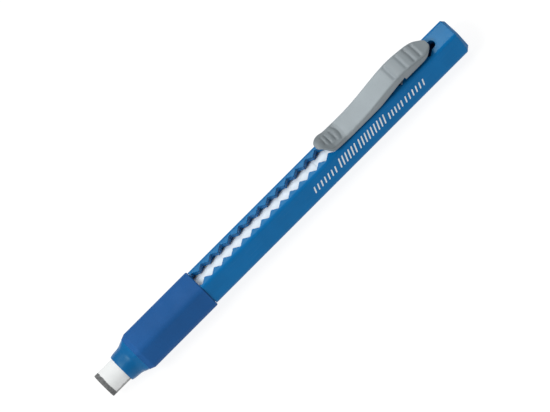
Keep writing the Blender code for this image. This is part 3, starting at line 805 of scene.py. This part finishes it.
# ---------------------------------------------------------------- carriage
JAW_GAP_HALF_H = 2.2
RAIL_REAR_X = 43.1
RAIL_STEPS = 40
RAIL_HALF_W = 1.6
RAIL_HALF_T = 0.5
RAIL_EDGE = 0.15
RAIL_END_Z = -1.9
RAIL_SAG = 0.9
SOCKET_BOX = ((42.6, HOLDER_REAR_X), (-2.5, 2.5), (-2.3, 1.95))
SOCKET_EDGE = 0.35
# openings in the socket, for the barbs and for the stem above them
ROOM_BOX = ((43.9, 47.6), (-1.75, 1.75), (-0.75, 1.05))
SLIT_BOX = ((43.9, 47.6), (-1.15, 1.15), (0.85, 2.95))


def build_holder(mat):
    """Split jaws, seat, bowed rail and the socket for the clip's stem."""
    outer, inner = 3.45, 3.02
    jaw, seat, seat_rear = 13.7, 19.4, 22.4
    bm = bmesh.new()
    turned(bm, ((seat_rear, 0.0), (seat_rear, outer - 0.5), (seat_rear - 0.15, outer - 0.15),
                (seat_rear - 0.5, outer), (jaw + 0.1, outer), (jaw + 0.03, outer - 0.03), (jaw, outer - 0.08),
                (jaw, inner + 0.05), (jaw + 0.1, inner), (seat, inner), (seat, 0.0)))
    holder = add_piece("carriage", bm)
    bm = bmesh.new()
    box(bm, (jaw - CUT_PAST, seat - 0.2), (-outer - CUT_PAST, outer + CUT_PAST),
        (-JAW_GAP_HALF_H, JAW_GAP_HALF_H))
    cut(holder, [add_piece("jaw_gap", bm)])
    bm = bmesh.new()
    rings = []
    front = seat_rear - 0.6
    w, t, edge = RAIL_HALF_W, RAIL_HALF_T, RAIL_EDGE
    side = t - edge
    for i in range(RAIL_STEPS + 1):
        k = i / RAIL_STEPS
        z = RAIL_END_Z - RAIL_SAG * math.sin(math.pi * k)
        x = front + (RAIL_REAR_X - front) * k
        rings.append([(x, -w, z - side), (x, -w + edge, z - t), (x, w - edge, z - t), (x, w, z - side),
                      (x, w, z + side), (x, w - edge, z + t), (x, edge - w, z + t), (x, -w, z + side)])
    loft(bm, rings)
    rail = add_piece("rail", bm)
    bm = bmesh.new()
    box(bm, *SOCKET_BOX, SOCKET_EDGE)
    cut(holder, [rail, add_piece("socket", bm)], "UNION")
    bm = bmesh.new()
    box(bm, *ROOM_BOX)
    room = add_piece("room", bm)
    bm = bmesh.new()
    box(bm, *SLIT_BOX)
    cut(holder, [room, add_piece("slit", bm)])
    dress(holder, "carriage", ["eraser_holder"], mat)


# ---------------------------------------------------------------- print
# groups of plain bars on the near side face: start and end along x, and the bars' upper end. Heights are
# measured down the face from its upper edge.
PRINT_GROUPS = ((9.1, 16.9, 2.15), (17.9, 23.9, 1.35), (24.6, 33.8, 1.35), (34.7, 39.7, 2.15),
                (40.4, 47.1, 2.15))
PRINT_LOW = 3.85
PRINT_STEP = 1.12
PRINT_HALF = 0.20
PRINT_SLANT = 0.34
PRINT_MARGIN = 0.7            # taken off a group's length, for the width and slant of its last bar
PRINT_LIFTS = (-0.05, 0.025)  # lower and upper side of the ink, out of the face
PRINT_ROUND_STEPS = 6


def bar_rings(x, high):
    """Lower and upper outline of a slanted bar with round ends, from PRINT_LOW up to high."""
    down = Vector((0.0, -SIN_30, -COS_30))
    out = Vector((0.0, -COS_30, SIN_30))
    edge = Vector((0.0, -FACE_Z / math.sqrt(3.0), FACE_Z))
    plan = []
    for end, turn in ((PRINT_LOW - PRINT_HALF, 0.0), (high + PRINT_HALF, 180.0)):
        for k in range(PRINT_ROUND_STEPS):
            a = math.radians((k + 0.5) * 180.0 / PRINT_ROUND_STEPS + turn)
            plan.append((PRINT_HALF * math.cos(a), end + PRINT_HALF * math.sin(a)))
    rings = []
    for lift in PRINT_LIFTS:
        ring = []
        for px, s in plan:
            along = Vector((x + px + PRINT_SLANT * (PRINT_LOW - s), 0.0, 0.0))
            ring.append(along + edge + down * s + out * lift)
        rings.append(ring)
    return rings


def build_print(mat):
    """Groups of equal slanted bars, printed on the near side face."""
    bm = bmesh.new()
    for x0, x1, high in PRINT_GROUPS:
        bars = int((x1 - x0) / PRINT_STEP) + 1
        for i in range(bars):
            loft(bm, bar_rings(x0 + (x1 - x0 - PRINT_MARGIN) * i / (bars - 1), high))
    marks = add_piece("print_bars", bm)
    dress(marks, "barrel_body", [], mat)


build_barrel(barrel_material())
build_grip(grip_material())
build_plug(plug_material())
build_holder(holder_material())
build_eraser(eraser_material())
build_clip(clip_material())
build_print(print_material())


# ---------------------------------------------------------------- camera
TIP_LEAN_DEG = 1.5
CAMERA_DISTANCE = 1.0
VIEW_WIDTH = 0.1347
SHIFT_LEFT = 0.00128
SHIFT_UP = 0.00096


def add_camera():
    """Long lens from 60 degrees above the near side, rolled so that the barrel lies at 45 degrees."""
    lean = math.radians(TIP_LEAN_DEG)
    back = Vector((-math.sin(lean), -math.cos(lean) * SIN_30, math.cos(lean) * COS_30))
    along = (Vector((1.0, 0.0, 0.0)) - back * back.x).normalized()
    across = back.cross(along)
    right = (along - across).normalized()
    up = (along + across).normalized()
    data = bpy.data.cameras.new("camera")
    data.sensor_width = 36.0
    data.lens = data.sensor_width * CAMERA_DISTANCE / VIEW_WIDTH
    camera = bpy.data.objects.new("camera", data)
    target = Vector((0.0, 0.0, AXIS_Z * MM))
    camera.location = target + back * CAMERA_DISTANCE - right * SHIFT_LEFT + up * SHIFT_UP
    camera.rotation_mode = "QUATERNION"
    camera.rotation_quaternion = Matrix((right, up, back)).transposed().to_quaternion()
    bpy.context.scene.collection.objects.link(camera)
    bpy.context.scene.camera = camera


# ---------------------------------------------------------------- stage
FLOOR_HALF = 3.0
FLOOR_DROP = 0.0001           # keeps the floor clear of the grip's lower flat
FLOOR_GREYS = ((0.14, 0.14, 0.14), (0.16, 0.16, 0.16))
FLOOR_GLOW = 0.90             # keeps the floor white in the picture
WORLD_COLOUR = (0.97, 0.99, 1.0, 1.0)
WORLD_STRENGTH = 0.30
# name, direction from the aim, distance, size, power, aim
LIGHTS = (("key", (-0.55, -0.06, 0.83), 1.1, (0.45, 0.45), 7.5, (0.0, 0.0, 0.0)),
          ("back_card", (0.026, 0.50, 0.866), 0.7, (0.5, 0.3), 1.1, (0.0, 0.0, 0.0)),
          ("rear_strip", (0.026, 0.50, 0.866), 0.6, (0.05, 0.2), 0.16, (0.060, 0.0, 0.0)),
          ("nose_card", (-0.27, 0.50, 0.82), 0.5, (0.05, 0.05), 0.11, (-0.052, 0.0, 0.0)))


def add_light(name, direction, distance, size, power, aim):
    data = bpy.data.lights.new(name, "AREA")
    data.shape = "RECTANGLE"
    data.size = size[0]
    data.size_y = size[1]
    data.energy = power
    light = bpy.data.objects.new(name, data)
    light.location = Vector(aim) + Vector(direction).normalized() * distance
    light.rotation_euler = (Vector(aim) - light.location).to_track_quat("-Z", "Y").to_euler()
    bpy.context.scene.collection.objects.link(light)


def add_stage():
    """Glowing white floor, pale world and the area lights."""
    mesh = bpy.data.meshes.new("floor")
    s = FLOOR_HALF
    mesh.from_pydata([(-s, -s, 0), (s, -s, 0), (s, s, 0), (-s, s, 0)], [], [(0, 1, 2, 3)])
    floor = bpy.data.objects.new("floor", mesh)
    floor.location.z = -FLOOR_DROP
    bpy.context.scene.collection.objects.link(floor)
    n = Nodes("floor")
    tone = n.mix(n.span(n.noise(30.0), 0.3, 0.7, 0.0, 1.0), *FLOOR_GREYS)
    rough = n.span(n.noise(50.0), 0.3, 0.7, 0.85, 0.95)
    n.bsdf.inputs["Emission Color"].default_value = (1.0, 1.0, 1.0, 1.0)
    n.bsdf.inputs["Emission Strength"].default_value = FLOOR_GLOW
    mesh.materials.append(n.finish(tone, rough, 0.1))
    world = bpy.data.worlds.new("world")
    world.use_nodes = True
    background = world.node_tree.nodes["Background"]
    background.inputs["Color"].default_value = WORLD_COLOUR
    background.inputs["Strength"].default_value = WORLD_STRENGTH
    bpy.context.scene.world = world
    for light in LIGHTS:
        add_light(*light)


add_camera()
add_stage()
bpy.context.scene.view_settings.view_transform = "Standard"
